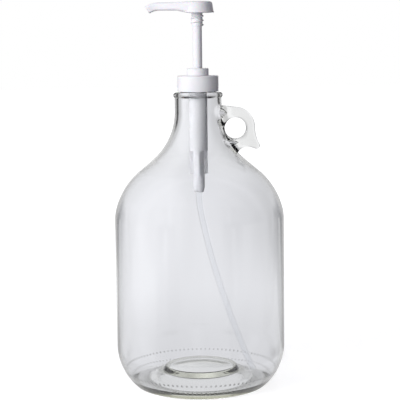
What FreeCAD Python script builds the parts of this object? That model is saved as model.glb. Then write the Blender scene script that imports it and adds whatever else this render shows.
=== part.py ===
"""A one gallon clear glass jug with a finger loop and a white plunger pump, in separate pieces.

Millimetres, +Z up. The origin is on the jug's axis, on the surface that it stands on.
The spout points along -X and the finger loop along +X. The plunger is drawn fully up.
"""

import FreeCAD, Part
import math
import os

V = FreeCAD.Vector
ORIGIN = V(0, 0, 0)
UP = V(0, 0, 1)
MM3_PER_LITRE = 1e6
SAME_POINT = 1e-6

# Jug: body and base
body_radius = 84.0
straight_height = 131.5
wall = 3.6
contact_inset = 23.0
bearing_width = 10.0
heel_radius = 54.0
heel_corner_radius = 8.0
inner_corner_radius = 12.0
base_thickness = 10.5
cone_width = 11.0
cone_height = 3.5
punt_step_width = 6.0
punt_step_height = 5.5
punt_dome_height = 2.0

# Jug: shoulder and neck
shoulder_blend_radius = 18.0
shoulder_blend_angle = 16.0
slope_angle = 50.0
slope_run = 13.7
neck_curve_radius = 62.0
neck_radius = 23.2
neck_height = 12.7
ring_radius = 24.5
ring_thickness = 5.2

# Jug: threaded finish
finish_height = 13.0
finish_radius = 17.7
finish_bore_radius = 14.6
bore_flare_height = 7.0
lip_round = 1.2
thread_pitch = 4.233
thread_turns = 1.1
thread_depth = 0.95
thread_root_width = 2.2
thread_crest_width = 1.1
thread_lip_drop = 8.6

# Jug: finger loop
loop_hole_radius = 10.5
loop_hole_offset = 13.3
loop_hole_drop = 29.8
loop_band = 8.8
loop_crown_lift = 1.6
loop_root_rise = 3.6
loop_thickness = 11.0
loop_edge_round = 3.2
loop_flank_radius = 36.0
loop_flank_drop = 17.4
loop_tip_radius = 3.4
loop_tip_turn = 138.0
loop_web = 8.0
loop_arch_radius = 11.4
loop_arch_offset = 12.0
loop_arch_start = 80.0
loop_arch_end = 165.0
loop_root_depth = 6.0
pocket_root_radius = 6.5
pocket_tip_radius = 1.2
upper_pocket_length = 9.6
upper_pocket_rise = 5.6
upper_pocket_tilt = -6.0
lower_pocket_length = 14.0
lower_pocket_drop = 8.4
lower_pocket_inset = 9.1
lower_pocket_tilt = 20.0

# Clearances
press_gap = 0.02
slide_gap = 0.06
running_gap = 0.15
thread_gap = 0.40
flank_gap = 0.15
ridge_sink = 0.3

# Closure and gasket
gasket_thickness = 1.0
flange_thickness = 1.3
flange_overhang = 0.3
closure_wall = 1.3
closure_top = 1.5
closure_edge_round = 0.9
skirt_gap = 1.5

# Locking collar and stem seal
collar_radius = 10.75
collar_rise = 7.1
collar_chamfer = 0.7
collar_shank_radius = 9.5
collar_floor = 3.2
snap_height = 1.4
snap_depth = 0.3
snap_drop = 3.0
seal_thickness = 2.0
seal_lip_height = 0.7
seal_lip_width = 1.8

# Lock-down thread of the head and collar
lock_length = 11.6
lock_pitch = 4.3
lock_turns = 2.2
lock_root_radius = 5.4
lock_depth = 1.0
lock_root_width = 1.9
lock_crest_width = 0.9
lock_lead = 1.2
collar_thread_turns = 1.8

# Plunger
stroke = 40.5
stroke_stop_gap = 0.55
stem_radius = 4.6
stem_neck_radius = 3.7
stem_bore_radius = 1.6
valve_bore_radius = 2.7
piston_height = 10.0
piston_lip_height = 2.4
piston_waist = 0.7
retainer_flange_radius = 6.2
retainer_flange = 2.5
retainer_shank = 6.0
retainer_bore_radius = 1.4
retainer_seat_width = 0.8
retainer_seat_height = 1.0
outlet_ball_radius = 2.1
outlet_lift = 2.5

# Cylinder and its valve
cylinder_radius = 9.1
cylinder_wall = 1.3
cup_wall = 2.3
ledge_thickness = 1.6
cylinder_floor = 1.6
vent_radius = 0.8
valve_tube_radius = 5.2
valve_tube_length = 21.2
fin_thickness = 1.4
fin_count = 4
chamber_radius = 3.9
chamber_depth = 16.0
inlet_seat_height = 2.4
inlet_bore_radius = 2.1
inlet_ball_radius = 3.2
inlet_lift = 2.5
cage_flange = 1.7
cage_wall = 1.2
cage_slot_width = 2.0
cage_slot_height = 5.0
cage_boss_height = 2.0

# Return spring
spring_wire = 0.9
spring_radius = 5.2
spring_turns = 7.5
spring_shut_length = 8.5

# Dip tube and its socket
tube_radius = 3.4
tube_wall = 1.1
socket_wall = 2.3
socket_length = 14.3
socket_taper = 5.0
socket_lip = 1.0
socket_stop = 1.2
tube_bend_radius = 110.0
tube_bend_angle = 11.0
tube_end_inset = 8.6
tube_end_clearance = 3.0

# Pump head
head_height = 11.0
pad_lift = 1.4
pad_radius = 15.2
pad_foot_radius = 16.2
pad_edge_round = 3.0
rim_height = 1.2
rim_width = 0.5
shell_wall = 1.8
deck = 1.8
hub_socket_depth = 12.4
rib_thickness = 1.2
rib_height = 6.0
rib_count = 6
spout_length = 51.0
spout_depth = 7.8
spout_fall = 0.8
spout_half_width = 4.5
spout_taper_length = 40.0
spout_soften = 30.0
spout_edge_round = 2.4
skirt_rise_start = 7.5
skirt_rise_end = 20.5
nose_drop = 5.0
nozzle_angle = 35.0
nozzle_face = 8.0
channel_radius = 2.2
channel_wall = 1.5


# Heights of the jug, from its base up
sin_slope = math.sin(math.radians(slope_angle))
cos_slope = math.cos(math.radians(slope_angle))
sin_blend = math.sin(math.radians(shoulder_blend_angle))
cos_blend = math.cos(math.radians(shoulder_blend_angle))
contact_radius = body_radius - contact_inset
bearing_radius = contact_radius - bearing_width
cone_radius = bearing_radius - cone_width
punt_radius = cone_radius - punt_step_width
z_punt = cone_height + punt_step_height
heel_chord = math.sqrt((heel_radius - heel_corner_radius) ** 2 - (heel_radius - contact_inset) ** 2)
slope_top_radius = neck_radius + neck_curve_radius * (1 - cos_slope)
slope_foot_radius = slope_top_radius + slope_run
blend_run = shoulder_blend_radius * (1 - cos_blend)
shoulder_radius = (body_radius - slope_foot_radius - blend_run) / (cos_blend - cos_slope)
z_heel = heel_corner_radius + heel_chord
z_body_top = z_heel + straight_height
z_blend = z_body_top + shoulder_blend_radius * sin_blend
z_slope_foot = z_blend + shoulder_radius * (sin_slope - sin_blend)
z_slope_top = z_slope_foot + slope_run * cos_slope / sin_slope
z_neck = z_slope_top + neck_curve_radius * sin_slope
z_ring = z_neck + neck_height
z_ring_top = z_ring + ring_thickness
z_lip = z_ring_top + finish_height
z_thread = z_lip - thread_lip_drop
z_bore = z_ring + ring_thickness / 2
loop_x = neck_radius + loop_hole_offset
loop_z = z_ring - loop_hole_drop

# Heights of the pump, from the jug's lip
z_flange = z_lip + gasket_thickness
z_flange_top = z_flange + flange_thickness
z_closure = z_flange_top + slide_gap
z_closure_top = z_closure + closure_top
z_skirt = z_ring_top + skirt_gap
z_collar = z_closure_top + running_gap
z_collar_top = z_collar + collar_rise
z_lock_floor = z_collar_top - lock_length - running_gap
z_collar_foot = z_lock_floor - collar_floor
z_ledge = z_collar_foot - seal_thickness
z_shoulder = z_ledge - running_gap
z_piston_foot = z_shoulder - piston_height
z_retainer = z_piston_foot - retainer_flange
z_cage = z_retainer - stroke - spring_shut_length
z_floor = z_cage - cage_flange
z_cylinder_foot = z_floor - cylinder_floor
z_fin_foot = z_cylinder_foot - valve_tube_length
z_socket_foot = z_fin_foot - socket_length
z_socket_end = z_socket_foot - socket_taper
z_tube_top = z_fin_foot - socket_stop
z_chamber = z_floor - chamber_depth
z_inlet_seat = z_chamber - inlet_seat_height
z_hub = z_collar_top + stroke_stop_gap + stroke
z_pad = z_hub + lock_length + pad_lift
z_head_top = z_pad + head_height
z_spout = z_head_top - spout_fall - spout_depth
z_channel = z_spout + spout_depth / 2
z_stem_top = z_hub + hub_socket_depth
z_outlet_seat = z_piston_foot + retainer_shank

# Radii that the fits give
cup_bore_radius = collar_shank_radius + press_gap
cup_radius = cup_bore_radius + cup_wall
bore_radius = cylinder_radius - cylinder_wall
piston_radius = bore_radius - slide_gap
stem_guide_radius = stem_radius + slide_gap
flange_radius = finish_radius + flange_overhang
closure_bore_radius = finish_radius + thread_depth + thread_gap
closure_radius = closure_bore_radius + closure_wall
closure_hole_radius = collar_shank_radius + running_gap
lock_crest_radius = lock_root_radius + lock_depth
lock_bore_radius = lock_crest_radius + running_gap
socket_bore_radius = tube_radius + press_gap
socket_radius = socket_bore_radius + socket_wall
tube_bore_radius = tube_radius - tube_wall
cage_bore_radius = chamber_radius - press_gap - cage_wall


# Shape helpers
def on_circle(centre, radius, angle):
    """The point of a circle at an angle in degrees, from +r towards +z."""
    a = math.radians(angle)
    return centre[0] + radius * math.cos(a), centre[1] + radius * math.sin(a)


def turn(centre, radius, start, end):
    """An arc about a centre in the r-z plane, from one angle to another."""
    points = [on_circle(centre, radius, a) for a in (start, (start + end) / 2, end)]
    return Part.Arc(*[V(r, 0, z) for r, z in points]).toShape()


def reversed_arc(arc):
    """The same arc, drawn from its other end."""
    first, last = arc.ParameterRange
    return Part.Arc(*[arc.valueAt(p) for p in (last, (first + last) / 2, first)]).toShape()


def straight(start, end):
    """The line between two points, in a list that is empty where they coincide."""
    return [Part.LineSegment(start, end).toShape()] if start.distanceToPoint(end) > SAME_POINT else []


def outline_face(*steps):
    """A closed face in the r-z plane. A step is an arc, or a point that a straight run leads to."""
    edges, first, here = [], None, None
    for step in steps:
        is_point = isinstance(step, tuple)
        start = V(step[0], 0, step[1]) if is_point else step.valueAt(step.FirstParameter)
        if first is None:
            first = start
        else:
            edges += straight(here, start)
        here = start
        if not is_point:
            edges.append(step)
            here = step.valueAt(step.LastParameter)
    return Part.Face(Part.Wire(edges + straight(here, first)))


def revolved(*steps):
    return outline_face(*steps).revolve(ORIGIN, UP, 360)


def rod(radius, z0, z1):
    return Part.makeCylinder(radius, z1 - z0, V(0, 0, z0))


def bar(x0, x1, y0, y1, z0, z1):
    return Part.makeBox(x1 - x0, y1 - y0, z1 - z0, V(x0, y0, z0))


def fused(first, *others):
    return first.multiFuse(list(others)).removeSplitter()


def around(shape, count):
    """Copies of a shape turned evenly about the axis."""
    copies = []
    for index in range(count):
        copy = shape.copy()
        copy.rotate(ORIGIN, UP, index * 360 / count)
        copies.append(copy)
    return copies


def helical_ridge(root, crest, pitch, turns, z0, root_width, crest_width):
    """A screw ridge of tapered section from a root radius to a crest radius, with its foot in the wall."""
    outward = 1 if crest > root else -1
    taper = (root_width - crest_width) / 2 / abs(crest - root)
    sunk_radius = root - outward * ridge_sink
    sunk_half = root_width / 2 + taper * ridge_sink
    helix = Part.makeHelix(pitch, pitch * turns, sunk_radius)
    helix.translate(V(0, 0, z0))
    corners = [
        V(sunk_radius, 0, z0 - sunk_half),
        V(crest, 0, z0 - crest_width / 2),
        V(crest, 0, z0 + crest_width / 2),
        V(sunk_radius, 0, z0 + sunk_half),
    ]
    sweep = Part.BRepOffsetAPI.MakePipeShell(Part.Wire(helix.Edges))
    sweep.setFrenetMode(True)
    sweep.add(Part.makePolygon(corners + corners[:1]))
    sweep.build()
    sweep.makeSolid()
    return sweep.shape()


def flank_offset(root_width, crest_width, depth, gap):
    """Axial distance between two mating ridges whose flanks lie flank_gap apart."""
    taper = (root_width - crest_width) / 2 / depth
    return root_width - taper * (depth + gap) + flank_gap


def dome_arc(edge_radius, edge_z, top_z):
    """A shallow dome's arc, from its edge up to the axis."""
    rise = top_z - edge_z
    radius = (edge_radius**2 + rise**2) / (2 * rise)
    edge_angle = math.degrees(math.atan2(edge_z - top_z + radius, edge_radius))
    return turn((0, top_z - radius), radius, edge_angle, 90)


def ball_on_cone(ball_radius, bore, seat_width, seat_height, z_seat):
    """Height of a ball's centre, a press gap above a conical seat that widens upwards from a bore."""
    slope = math.atan2(seat_width, seat_height)
    z_apex = z_seat - bore / math.tan(slope)
    return z_apex + (ball_radius + press_gap) / math.sin(slope)


def ball_stop(ball_radius, hole_radius):
    """How far above its centre a ball meets the edge of a hole."""
    return math.sqrt(ball_radius**2 - hole_radius**2)


# Glass jug
neck_centre = (neck_radius + neck_curve_radius, z_neck)
shoulder_x = slope_foot_radius - shoulder_radius * cos_slope
shoulder_z = z_slope_foot - shoulder_radius * sin_slope
shoulder_centre = (shoulder_x, shoulder_z)
blend_centre = (body_radius - shoulder_blend_radius, z_body_top)
heel_centre = (body_radius - heel_radius, z_heel)


def jug_outside():
    """The jug's outside as one solid of revolution, with the dome under its base."""
    corner_centre = (contact_radius, heel_corner_radius)
    heel_angle = -math.degrees(math.atan2(heel_chord, contact_radius - heel_centre[0]))
    bead = ring_thickness / 2
    return revolved(
        (0, z_lip),
        turn((finish_radius - lip_round, z_lip - lip_round), lip_round, 90, 0),
        (finish_radius, z_ring_top),
        turn((ring_radius - bead, z_ring + bead), bead, 90, -90),
        (neck_radius, z_ring),
        turn(neck_centre, neck_curve_radius, 180, 180 + slope_angle),
        turn(shoulder_centre, shoulder_radius, slope_angle, shoulder_blend_angle),
        turn(blend_centre, shoulder_blend_radius, shoulder_blend_angle, 0),
        turn(heel_centre, heel_radius, 0, heel_angle),
        turn(corner_centre, heel_corner_radius, heel_angle, -90),
        (bearing_radius, 0),
        (cone_radius, cone_height),
        dome_arc(punt_radius, z_punt, z_punt + punt_dome_height),
    )


def jug_inside():
    """The space inside the jug: its outside moved in by the wall, over a thicker base."""
    corner_z = base_thickness + inner_corner_radius
    inner_heel = heel_radius - wall
    corner_reach = math.sqrt((inner_heel - inner_corner_radius) ** 2 - (z_heel - corner_z) ** 2)
    corner_centre = (heel_centre[0] + corner_reach, corner_z)
    heel_angle = -math.degrees(math.atan2(z_heel - corner_z, corner_reach))
    dome_edge = base_thickness + z_punt
    mouth_radius = finish_bore_radius + lip_round
    return revolved(
        reversed_arc(dome_arc(punt_radius, dome_edge, dome_edge + punt_dome_height)),
        (cone_radius, base_thickness + cone_height),
        (bearing_radius, base_thickness),
        turn(corner_centre, inner_corner_radius, -90, heel_angle),
        turn(heel_centre, inner_heel, heel_angle, 0),
        turn(blend_centre, shoulder_blend_radius - wall, 0, shoulder_blend_angle),
        turn(shoulder_centre, shoulder_radius - wall, shoulder_blend_angle, slope_angle),
        turn(neck_centre, neck_curve_radius + wall, 180 + slope_angle, 180),
        (neck_radius - wall, z_bore - bore_flare_height),
        (finish_bore_radius, z_bore),
        turn((mouth_radius, z_lip - lip_round), lip_round, 180, 90),
        (mouth_radius, z_lip + lip_round),
        (0, z_lip + lip_round),
    )


def finger_loop():
    """The finger loop: a thick plate in the X-Z plane with a round hole, a thumb tip and rounded rims."""
    crown_centre = (loop_x, loop_z + loop_crown_lift)
    crown_radius = loop_hole_radius + loop_band
    flank_centre = (loop_x + crown_radius + loop_flank_radius, crown_centre[1])
    flank_angle = math.degrees(math.asin(loop_flank_drop / loop_flank_radius))
    flank_end = on_circle(flank_centre, loop_flank_radius, 180 + flank_angle)
    tip_centre = on_circle(flank_end, loop_tip_radius, 180 + flank_angle)
    arch_drop = loop_hole_radius + loop_web + loop_arch_radius
    arch_centre = (loop_x + loop_arch_offset, loop_z - arch_drop)
    arch_root = on_circle(arch_centre, loop_arch_radius, loop_arch_end)
    inner_x = finish_bore_radius / 2
    plate = outline_face(
        (inner_x, crown_centre[1] + crown_radius + loop_root_rise),
        turn(crown_centre, crown_radius, 90, 0),
        turn(flank_centre, loop_flank_radius, 180, 180 + flank_angle),
        turn(tip_centre, loop_tip_radius, flank_angle, flank_angle - loop_tip_turn),
        turn(arch_centre, loop_arch_radius, loop_arch_start, loop_arch_end),
        (arch_root[0], arch_root[1] - loop_root_depth),
        (inner_x, arch_root[1] - loop_root_depth),
    )
    half = loop_thickness / 2
    plate.translate(V(0, -half, 0))
    hole = Part.makeCylinder(loop_hole_radius, loop_thickness, V(loop_x, -half, loop_z), V(0, 1, 0))
    solid = plate.extrude(V(0, loop_thickness, 0)).cut(hole)
    rims = [e for e in solid.Edges if len({round(v.Y, 3) for v in e.Vertexes}) == 1]
    return solid.makeFillet(loop_edge_round, rims)


def loop_pocket(x, z, length, tilt):
    """A blown hollow that runs from the jug's inside into one root of the finger loop."""
    a = math.radians(tilt)
    along = V(math.cos(a), 0, math.sin(a))
    return Part.makeCone(pocket_root_radius, pocket_tip_radius, length, V(x, 0, z), along)


def glass_jug():
    upper_pocket = loop_pocket(
        neck_radius - wall - pocket_tip_radius,
        loop_z + loop_hole_radius + upper_pocket_rise,
        upper_pocket_length,
        upper_pocket_tilt,
    )
    lower_pocket = loop_pocket(
        loop_x - lower_pocket_inset,
        loop_z - loop_hole_radius - lower_pocket_drop,
        lower_pocket_length,
        lower_pocket_tilt,
    )
    thread = helical_ridge(
        finish_radius,
        finish_radius + thread_depth,
        thread_pitch,
        thread_turns,
        z_thread,
        thread_root_width,
        thread_crest_width,
    )
    glass = fused(jug_outside(), finger_loop())
    for hollow in (jug_inside(), upper_pocket, lower_pocket):
        glass = glass.cut(hollow)
    return glass.fuse(thread)


# Closure, gasket, collar and stem seal
def screw_closure():
    """The screw cap: a skirt with a thread inside it and a hole in its top for the collar."""
    edge_centre = (closure_radius - closure_edge_round, z_closure_top - closure_edge_round)
    shell = revolved(
        (closure_hole_radius, z_closure_top),
        turn(edge_centre, closure_edge_round, 90, 0),
        (closure_radius, z_skirt),
        (closure_bore_radius, z_skirt),
        (closure_bore_radius, z_closure),
        (closure_hole_radius, z_closure),
    )
    thread = helical_ridge(
        closure_bore_radius,
        closure_bore_radius - thread_depth,
        thread_pitch,
        thread_turns,
        z_thread - flank_offset(thread_root_width, thread_crest_width, thread_depth, thread_gap),
        thread_root_width,
        thread_crest_width,
    )
    return fused(shell, thread)


def neck_gasket():
    outer = finish_radius - press_gap
    return rod(outer, z_lip, z_flange).cut(rod(cup_radius + running_gap, z_lip, z_flange))


def locking_collar():
    """The collar: a cup with the lock-down thread, a guide hole for the stem and a snap bead outside."""
    z_snap = z_flange_top - snap_drop
    snap_radius = collar_shank_radius + snap_depth
    shell = revolved(
        (lock_bore_radius, z_collar_top),
        (collar_radius - collar_chamfer, z_collar_top),
        (collar_radius, z_collar_top - collar_chamfer),
        (collar_radius, z_collar),
        (collar_shank_radius, z_collar),
        (collar_shank_radius, z_snap + snap_height / 2),
        (snap_radius, z_snap),
        (collar_shank_radius, z_snap - snap_height / 2),
        (collar_shank_radius, z_collar_foot),
        (stem_guide_radius, z_collar_foot),
        (stem_guide_radius, z_lock_floor),
        (lock_bore_radius, z_lock_floor),
    )
    thread = helical_ridge(
        lock_bore_radius,
        lock_bore_radius - lock_depth,
        lock_pitch,
        collar_thread_turns,
        z_collar_top - lock_lead - lock_pitch * collar_thread_turns,
        lock_root_width,
        lock_crest_width,
    )
    return fused(shell, thread)


def stem_seal():
    """The stem's lip seal, held between the collar's foot and the cylinder's ledge."""
    outer = cup_bore_radius - press_gap
    lip_root = stem_guide_radius + seal_lip_width
    return revolved(
        (outer, z_ledge),
        (outer, z_collar_foot),
        (stem_guide_radius, z_collar_foot),
        (stem_guide_radius, z_collar_foot - seal_lip_height),
        (lip_root, z_collar_foot - seal_lip_height),
        (lip_root, z_ledge),
    )


# Plunger: stem, piston, retainer and outlet ball
z_outlet_ball = ball_on_cone(
    outlet_ball_radius,
    retainer_bore_radius,
    retainer_seat_width,
    retainer_seat_height,
    z_outlet_seat - retainer_seat_height,
)


def pump_stem():
    """The hollow stem, with a narrower end through the piston and a step that stops the outlet ball."""
    z_stop = z_outlet_ball + outlet_lift + ball_stop(outlet_ball_radius, stem_bore_radius) + slide_gap
    return revolved(
        (stem_bore_radius, z_stem_top),
        (stem_radius, z_stem_top),
        (stem_radius, z_shoulder),
        (stem_neck_radius, z_shoulder),
        (stem_neck_radius, z_piston_foot),
        (valve_bore_radius, z_piston_foot),
        (valve_bore_radius, z_stop),
        (stem_bore_radius, z_stop),
    )


def piston():
    """The piston: two lips that run in the cylinder, with a waist between them."""
    top = z_shoulder - slide_gap
    foot = z_piston_foot + slide_gap
    waist_radius = piston_radius - piston_waist
    return revolved(
        (stem_neck_radius + slide_gap, top),
        (piston_radius, top),
        (piston_radius, top - piston_lip_height),
        (waist_radius, top - piston_lip_height - piston_waist),
        (waist_radius, foot + piston_lip_height + piston_waist),
        (piston_radius, foot + piston_lip_height),
        (piston_radius, foot),
        (stem_neck_radius + slide_gap, foot),
    )


def piston_retainer():
    """The hollow plug in the stem's foot. Its flange holds the piston and its top seats the outlet ball."""
    shank_radius = valve_bore_radius - press_gap
    return revolved(
        (retainer_bore_radius, z_retainer),
        (retainer_flange_radius, z_retainer),
        (retainer_flange_radius, z_piston_foot),
        (shank_radius, z_piston_foot),
        (shank_radius, z_outlet_seat),
        (retainer_bore_radius + retainer_seat_width, z_outlet_seat),
        (retainer_bore_radius, z_outlet_seat - retainer_seat_height),
    )


def outlet_ball():
    return Part.makeSphere(outlet_ball_radius, V(0, 0, z_outlet_ball))


# Cylinder, inlet valve, spring and dip tube
z_inlet_ball = ball_on_cone(
    inlet_ball_radius,
    inlet_bore_radius,
    chamber_radius - inlet_bore_radius,
    inlet_seat_height,
    z_inlet_seat,
)


def pump_cylinder():
    """The cylinder: a flanged cup on the lip, the piston's bore, a finned valve tube and a tube socket."""
    z_snap = z_flange_top - snap_drop
    z_cup_foot = z_ledge - ledge_thickness
    groove_radius = cup_bore_radius + snap_depth
    body = revolved(
        (0, z_flange_top),
        (flange_radius, z_flange_top),
        (flange_radius, z_flange),
        (cup_radius, z_flange),
        (cup_radius, z_cup_foot),
        (cylinder_radius, z_cup_foot - (cup_radius - cylinder_radius)),
        (cylinder_radius, z_cylinder_foot),
        (valve_tube_radius, z_cylinder_foot),
        (valve_tube_radius, z_fin_foot),
        (socket_radius, z_fin_foot),
        (socket_radius, z_socket_foot),
        (socket_bore_radius + socket_lip, z_socket_end),
        (0, z_socket_end),
    )
    fin = bar(0, cylinder_radius, -fin_thickness / 2, fin_thickness / 2, z_fin_foot, z_cylinder_foot)
    hollow = revolved(
        (0, z_flange_top),
        (cup_bore_radius, z_flange_top),
        (cup_bore_radius, z_snap + snap_height / 2),
        (groove_radius, z_snap),
        (cup_bore_radius, z_snap - snap_height / 2),
        (cup_bore_radius, z_ledge),
        (bore_radius, z_ledge),
        (bore_radius, z_floor),
        (chamber_radius, z_floor),
        (chamber_radius, z_chamber),
        (inlet_bore_radius, z_inlet_seat),
        (inlet_bore_radius, z_tube_top),
        (socket_bore_radius, z_tube_top),
        (socket_bore_radius, z_socket_end),
        (0, z_socket_end),
    )
    z_vent = (z_shoulder + z_piston_foot) / 2
    vent = Part.makeCylinder(vent_radius, cup_radius, V(0, 0, z_vent), V(0, 1, 0))
    return fused(body, *around(fin, fin_count)).cut([hollow, vent])


def inlet_ball():
    return Part.makeSphere(inlet_ball_radius, V(0, 0, z_inlet_ball))


def inlet_cage():
    """The cage: a flange on the floor, a slotted sleeve above the ball and a boss inside the spring."""
    flange = bore_radius - running_gap
    boss = spring_radius - spring_wire / 2 - running_gap
    sleeve = chamber_radius - press_gap
    z_foot = z_inlet_ball + inlet_lift + ball_stop(inlet_ball_radius, cage_bore_radius) + slide_gap
    body = revolved(
        (cage_bore_radius, z_cage + cage_boss_height),
        (boss, z_cage + cage_boss_height),
        (boss, z_cage),
        (flange, z_cage),
        (flange, z_floor),
        (sleeve, z_floor),
        (sleeve, z_foot),
        (cage_bore_radius, z_foot),
    )
    half = cage_slot_width / 2
    slot = bar(0, chamber_radius, -half, half, z_foot, z_foot + cage_slot_height)
    return body.cut(around(slot, fin_count))


def return_spring():
    """The return spring, a round wire wound between the cage and the retainer's flange."""
    z_start = z_cage + spring_wire / 2 + press_gap
    z_end = z_retainer - spring_wire / 2 - press_gap
    pitch = (z_end - z_start) / spring_turns
    helix = Part.makeHelix(pitch, z_end - z_start, spring_radius)
    helix.translate(V(0, 0, z_start))
    lead = math.atan2(pitch, 2 * math.pi * spring_radius)
    along = V(0, math.cos(lead), math.sin(lead))
    start = V(spring_radius, 0, z_start)
    halves = [Part.makeCircle(spring_wire / 2, start, along, a, a + 180) for a in (0, 180)]
    sweep = Part.BRepOffsetAPI.MakePipeShell(Part.Wire(helix.Edges))
    sweep.setFrenetMode(True)
    sweep.add(Part.Wire(halves))
    sweep.build()
    sweep.makeSolid()
    return sweep.shape()


def tube_path():
    """The dip tube's centre line: straight in its socket, a short bend, then one long bend to the heel."""
    bend = math.radians(tube_bend_angle)
    knee_x = tube_bend_radius * (1 - math.cos(bend))
    knee_z = z_socket_end - tube_bend_radius * math.sin(bend)
    end_x = contact_radius - tube_end_inset
    end_z = base_thickness + tube_end_clearance
    end_angle = 2 * math.atan2(end_x - knee_x, knee_z - end_z) - bend
    long_radius = (knee_z - end_z) / (math.sin(end_angle) - math.sin(bend))
    long_centre = (knee_x + long_radius * math.cos(bend), knee_z + long_radius * math.sin(bend))
    return Part.Wire(
        [
            Part.LineSegment(V(0, 0, z_tube_top), V(0, 0, z_socket_end)).toShape(),
            turn((tube_bend_radius, z_socket_end), tube_bend_radius, 180, 180 + tube_bend_angle),
            turn(long_centre, long_radius, 180 + tube_bend_angle, 180 + math.degrees(end_angle)),
        ]
    )


def dip_tube():
    path = tube_path()
    skins = []
    for radius in (tube_radius, tube_bore_radius):
        section = Part.Wire(Part.makeCircle(radius, V(0, 0, z_tube_top), UP))
        skins.append(path.makePipeShell([section], True, False))
    return skins[0].cut(skins[1])


# Pump head
def head_pad():
    """The head's round pad, filled, with a rounded top edge and a rim at its foot."""
    rim_radius = pad_foot_radius + rim_width
    edge_centre = (pad_radius - pad_edge_round, z_head_top - pad_edge_round)
    return revolved(
        (0, z_head_top),
        turn(edge_centre, pad_edge_round, 90, 0),
        (pad_foot_radius, z_pad + rim_height),
        (rim_radius, z_pad + rim_height),
        (rim_radius, z_pad),
        (0, z_pad),
    )


def head_hollow():
    """The space under the pad, around the hub, its ribs and the wall of the spout's channel."""
    hollow = revolved(
        (0, z_head_top - deck),
        (pad_radius - shell_wall, z_head_top - deck),
        (pad_foot_radius + rim_width - shell_wall, z_pad),
        (0, z_pad),
    )
    z_rib = z_head_top - deck - rib_height
    rib = bar(0, pad_foot_radius, -rib_thickness / 2, rib_thickness / 2, z_rib, z_head_top)
    channel_half = channel_radius + channel_wall
    sleeve = bar(-pad_foot_radius, 0, -channel_half, channel_half, z_spout, z_head_top)
    return hollow.cut([rod(lock_root_radius, z_pad, z_head_top), sleeve] + around(rib, rib_count))


def skirt_rise():
    """The wedge cut from the pad's skirt, where its foot climbs to the spout's underside."""
    wedge = outline_face(
        (-skirt_rise_start, z_pad),
        (-skirt_rise_end, z_spout),
        (-spout_length, z_spout),
        (-spout_length, z_pad),
    )
    half_width = pad_foot_radius + rim_width
    wedge.translate(V(0, -half_width, 0))
    return wedge.extrude(V(0, 2 * half_width, 0))


def nozzle_points():
    """The nozzle face's upper and lower corners in the X-Z plane."""
    a = math.radians(nozzle_angle)
    upper = (-spout_length, z_head_top - nose_drop)
    return upper, (upper[0] + nozzle_face * math.sin(a), upper[1] - nozzle_face * math.cos(a))


def spout():
    """The spout: its side view and its plan, each drawn as an outline, cut out of one another."""
    upper, lower = nozzle_points()
    fall = 1 - math.cos(math.radians(nozzle_angle))
    top_z = z_head_top - spout_fall
    nose_radius = (top_z - upper[1]) / fall
    chin_radius = (z_spout - lower[1]) / fall
    run = math.sin(math.radians(nozzle_angle))
    nose_centre = (upper[0] + nose_radius * run, top_z - nose_radius)
    chin_centre = (lower[0] + chin_radius * run, z_spout - chin_radius)
    side = outline_face(
        (0, z_head_top),
        turn(nose_centre, nose_radius, 90, 90 + nozzle_angle),
        turn(chin_centre, chin_radius, 90 + nozzle_angle, 90),
        (-skirt_rise_end, z_spout),
        (-skirt_rise_start, z_pad),
        (0, z_pad),
    )
    lean = math.asin((pad_radius - spout_half_width) / spout_taper_length)
    root = (-pad_radius * math.sin(lean), pad_radius * math.cos(lean))
    taper_end = -spout_taper_length - spout_half_width * math.sin(lean)
    beyond = -spout_length - spout_depth
    corners = [
        (0, root[1]),
        root,
        (taper_end, spout_half_width * math.cos(lean)),
        (beyond, spout_half_width * math.cos(lean)),
    ]
    corners += [(x, -y) for x, y in reversed(corners)]
    points = [V(x, y, z_pad) for x, y in corners]
    plan = Part.Face(Part.makePolygon(points + points[:1]))
    plan = plan.makeOffset2D(spout_soften).makeOffset2D(-spout_soften)
    width = V(0, 2 * pad_radius, 0)
    side.translate(width * -0.5)
    solid = side.extrude(width).common(plan.extrude(V(0, 0, head_height)))
    along = [e for e in solid.Edges if e.BoundBox.YLength < spout_half_width and runs_along(e)]
    return solid.makeFillet(spout_edge_round, along)


def runs_along(edge):
    """Whether an edge of the spout follows its length, on one of its four long corners."""
    a, b = edge.Vertexes[0].Point, edge.Vertexes[-1].Point
    return abs(a.x - b.x) > abs(a.z - b.z) and a.y * b.y > 0


def pump_head():
    """The paddle head: pad and spout over a threaded hub, with the way for the oil through them."""
    upper, lower = nozzle_points()
    a = math.radians(nozzle_angle)
    mouth = ((upper[0] + lower[0]) / 2, (upper[1] + lower[1]) / 2)
    bend_x = mouth[0] + (z_channel - mouth[1]) / math.tan(a)
    outward = V(-math.cos(a), 0, -math.sin(a))
    channel = Part.makeCylinder(channel_radius, -bend_x, V(0, 0, z_channel), V(-1, 0, 0))
    elbow = Part.makeSphere(channel_radius, V(bend_x, 0, z_channel))
    nozzle = Part.makeCylinder(channel_radius, nozzle_face + spout_depth, V(bend_x, 0, z_channel), outward)
    socket = rod(stem_radius + press_gap, z_hub, z_stem_top)
    riser = rod(channel_radius, z_stem_top, z_channel)
    thread = helical_ridge(
        lock_root_radius,
        lock_crest_radius,
        lock_pitch,
        lock_turns,
        z_hub + lock_lead,
        lock_root_width,
        lock_crest_width,
    )
    hub = rod(lock_root_radius, z_hub, z_head_top - deck / 2)
    pad = head_pad().cut(skirt_rise())
    shell = fused(pad, spout()).cut(head_hollow())
    return fused(shell, hub, thread).cut([socket, riser, channel, elbow, nozzle])


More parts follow.
